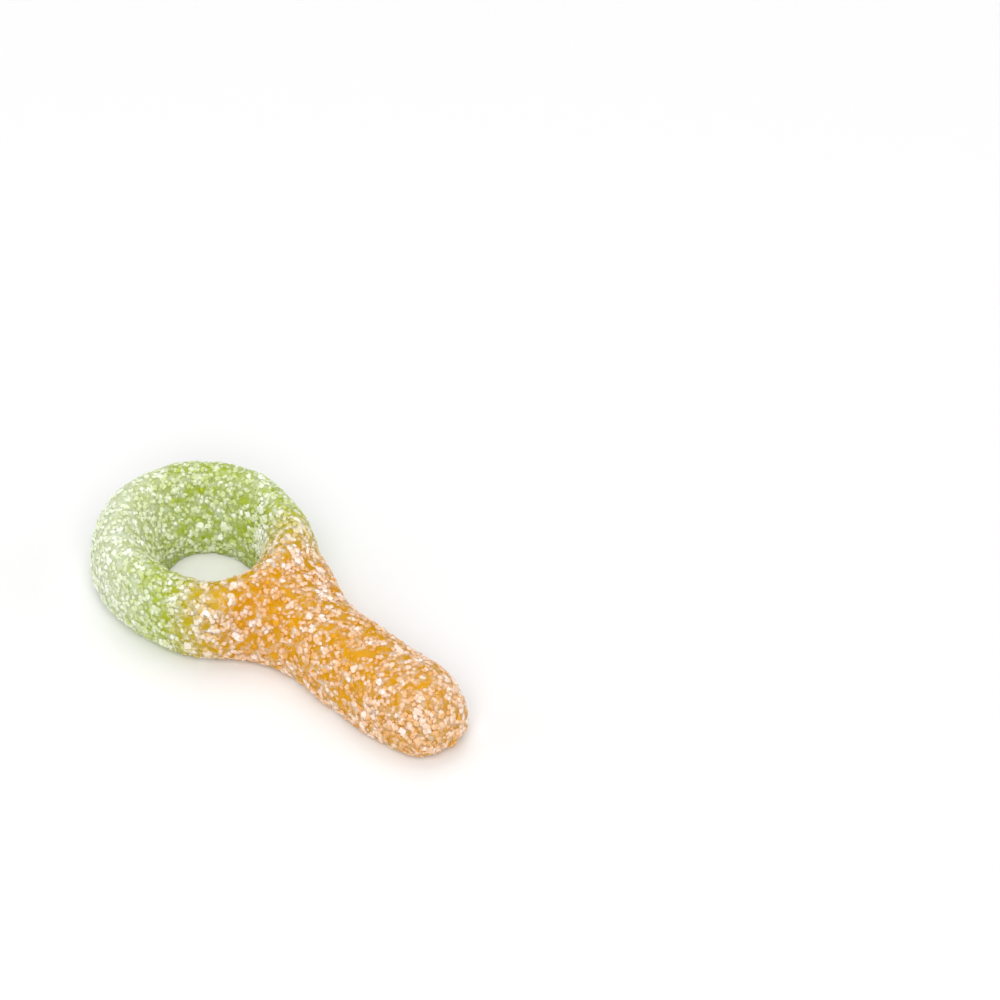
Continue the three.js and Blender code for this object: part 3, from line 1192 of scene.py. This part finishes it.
    def draw(self, bench: NodeBench, low: float, high: float, number: int) -> Any:
        """Draws a random number for each crystal, other ones for another number of the draw."""
        inputs = {2: low, 3: high, "Seed": self.seed + number}
        return bench.add("FunctionNodeRandomValue", inputs, data_type="FLOAT").outputs[1]


# The studio


@dataclass(frozen=True)
class Softbox:
    """A square soft light.

    Attributes:
        name: the light's name.
        turn: where it stands from the camera's side, towards the picture's right, in degrees.
        rise: its angle above the table, in degrees.
        power: its power, in watts.
        size: the length of its sides, in metres.
    """

    name: str
    turn: float
    rise: float
    power: float
    size: float = 1.4


@dataclass
class Studio:
    """A white table, soft white light and the camera.

    Attributes:
        looked_at: the point on the table in the middle of the picture.
        azimuth: the camera's angle round the sweet, in degrees.
        elevation: its angle above the table, in degrees.
        distance: its distance from that point, in metres.
        lens: its focal length, in millimetres.
        table_size: the length of the table's sides.
        sky: the strength of the light from all round.
        backdrop: how bright the camera sees what is behind the table.
        light_distance: how far the softboxes stand from the sweet.
        lights: the softboxes.
    """

    looked_at: Vector
    azimuth: float = 43.65
    elevation: float = 44.0
    distance: float = 0.6
    lens: float = 198.4
    table_size: float = 2.4
    sky: float = 0.03
    backdrop: float = 0.85
    light_distance: float = 1.6
    lights: tuple[Softbox, ...] = (
        Softbox("front", 0, 51, 23.0),
        Softbox("low_front", 0, 20, 3.5),
        Softbox("back", 183, 66, 14.0),
        Softbox("right", 90, 21, 9.0),
        Softbox("left", -90, 24, 8.0),
    )

    def build(self) -> None:
        """Sets up the table, the light and the camera."""
        self.table()
        self.light()
        self.camera()

    def table(self) -> None:
        """Lays the white table under the sweet."""
        clear_selection()
        bpy.ops.mesh.primitive_plane_add(size=self.table_size, location=(0, 0, 0))
        table = bpy.context.active_object
        table.name = "table"
        material, bench, shader = new_material("white_table")
        bench.feed(shader, {"Base Color": Hue.FLOOR.value, "Roughness": 0.6})
        table.data.materials.append(material)

    def light(self) -> None:
        """Lights the sweet with the softboxes and a little from all round."""
        world = bpy.data.worlds.new("studio")
        world.use_nodes = True
        bench = NodeBench(world.node_tree)
        seen = bench.add("ShaderNodeLightPath").outputs["Is Camera Ray"]
        strength = bench.maths("MULTIPLY_ADD", seen, self.backdrop - self.sky, self.sky)
        sky = world.node_tree.nodes["Background"]
        bench.feed(sky, {"Color": (1, 1, 1, 1), "Strength": strength})
        bpy.context.scene.world = world
        for softbox in self.lights:
            way = self.way(self.azimuth + softbox.turn, softbox.rise)
            bpy.ops.object.light_add(type="AREA", location=way * self.light_distance)
            lamp = bpy.context.active_object
            lamp.name = softbox.name
            lamp.data.size = softbox.size
            lamp.data.energy = softbox.power
            lamp.rotation_euler = (-way).to_track_quat("-Z", "Y").to_euler()

    def way(self, azimuth: float, elevation: float) -> Vector:
        """Finds the direction from the sweet towards a place round it.

        Args:
            azimuth: the angle round the sweet, in degrees.
            elevation: the angle above the table, in degrees.

        Returns:
            The direction, of length 1.
        """
        turn, rise = math.radians(azimuth), math.radians(elevation)
        flat = math.cos(rise)
        return Vector((math.sin(turn) * flat, -math.cos(turn) * flat, math.sin(rise)))

    def camera(self) -> None:
        """Puts the camera where the picture was taken from."""
        back = self.way(self.azimuth, self.elevation)
        bpy.ops.object.camera_add(location=self.looked_at + back * self.distance)
        camera = bpy.context.active_object
        camera.rotation_euler = (-back).to_track_quat("-Z", "Y").to_euler()
        camera.data.lens = self.lens
        camera.data.sensor_width = 36
        camera.data.clip_start = 0.01
        bpy.context.scene.camera = camera
        bpy.context.scene.view_settings.view_transform = "Standard"


# Putting it together


def sugar_layers(colours: ShaderNodeTree, pattern: GeometryNodeTree) -> list[SugarLayer]:
    """Sets out the sugar's sizes, from the coarsest to the finest.

    Args:
        colours: the node group of gel and sugar together.
        pattern: the geometry node group of the coat's pattern.

    Returns:
        The layers, in the order in which they are strewn.
    """
    block, plain = CrystalShape(Cut.BLOCK), CrystalShape(Cut.BLOCK, cuts=3, chamfer=0.0, crook=0.18)
    crumb = CrystalShape(Cut.CRUMB)
    dry = SugarFinish("dry_sugar", colours).material()
    wet = SugarFinish("wet_sugar", colours, (0.4, 0.7), foot=0.5).material()
    return [
        SugarLayer("coarse_sugar", dry, block, pattern, Lie.CROWN, sizes=(0.65 * MM, 1.0 * MM),
                   per_mm2=0.3, sink=0.12, flat=0.75, follow=0.7, extra=(0.1, 0.7),
                   on_pale_side=0.0, seed=11),
        SugarLayer("white_sugar", dry, crumb, pattern, Lie.CROWN, sizes=(0.4 * MM, 0.8 * MM),
                   per_mm2=3.6, sink=0.12, flat=0.85, follow=0.6, extra=(0.05, 0.6),
                   on_pale_side=-0.45, seed=23),
        SugarLayer("wetted_sugar", wet, crumb, pattern, Lie.CRUST, sizes=(0.45 * MM, 0.9 * MM),
                   per_mm2=1.31, sink=0.14, flat=0.8, follow=0.8, extra=(-0.1, 0.3),
                   on_pale_side=-0.55, seed=37),
        SugarLayer("fine_sugar", wet, plain, pattern, Lie.CRUST, sizes=(0.3 * MM, 0.48 * MM),
                   per_mm2=3.6, sink=0.1, flat=0.85, follow=0.8, extra=(-0.05, 0.4),
                   on_pale_side=-0.2, seed=53),
    ]


def main() -> None:
    """Builds the sweet and the studio; each piece logs its number of faces."""
    logging.basicConfig(level=logging.INFO, format="%(message)s")
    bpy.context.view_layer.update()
    ring_reach = 13.79 * MM
    low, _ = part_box(NODE)
    centre = Vector((low[0] + ring_reach, 0, 0))
    poured = PouredColours(middle=centre.x + 5.6 * MM).group()
    pattern = CoatPattern(centre)
    colours = SugaredColours(poured).group()
    gel = GelBody(centre=centre).build(GelFinish(colours, pattern.group(Tree.SHADER)).material())
    for layer in sugar_layers(colours, pattern.group(Tree.GEOMETRY)):
        layer.strew(gel)
    Studio(looked_at=Vector((centre.x + 13.64 * MM, 30.9 * MM, 0))).build()


if __name__ == "__main__":
    main()
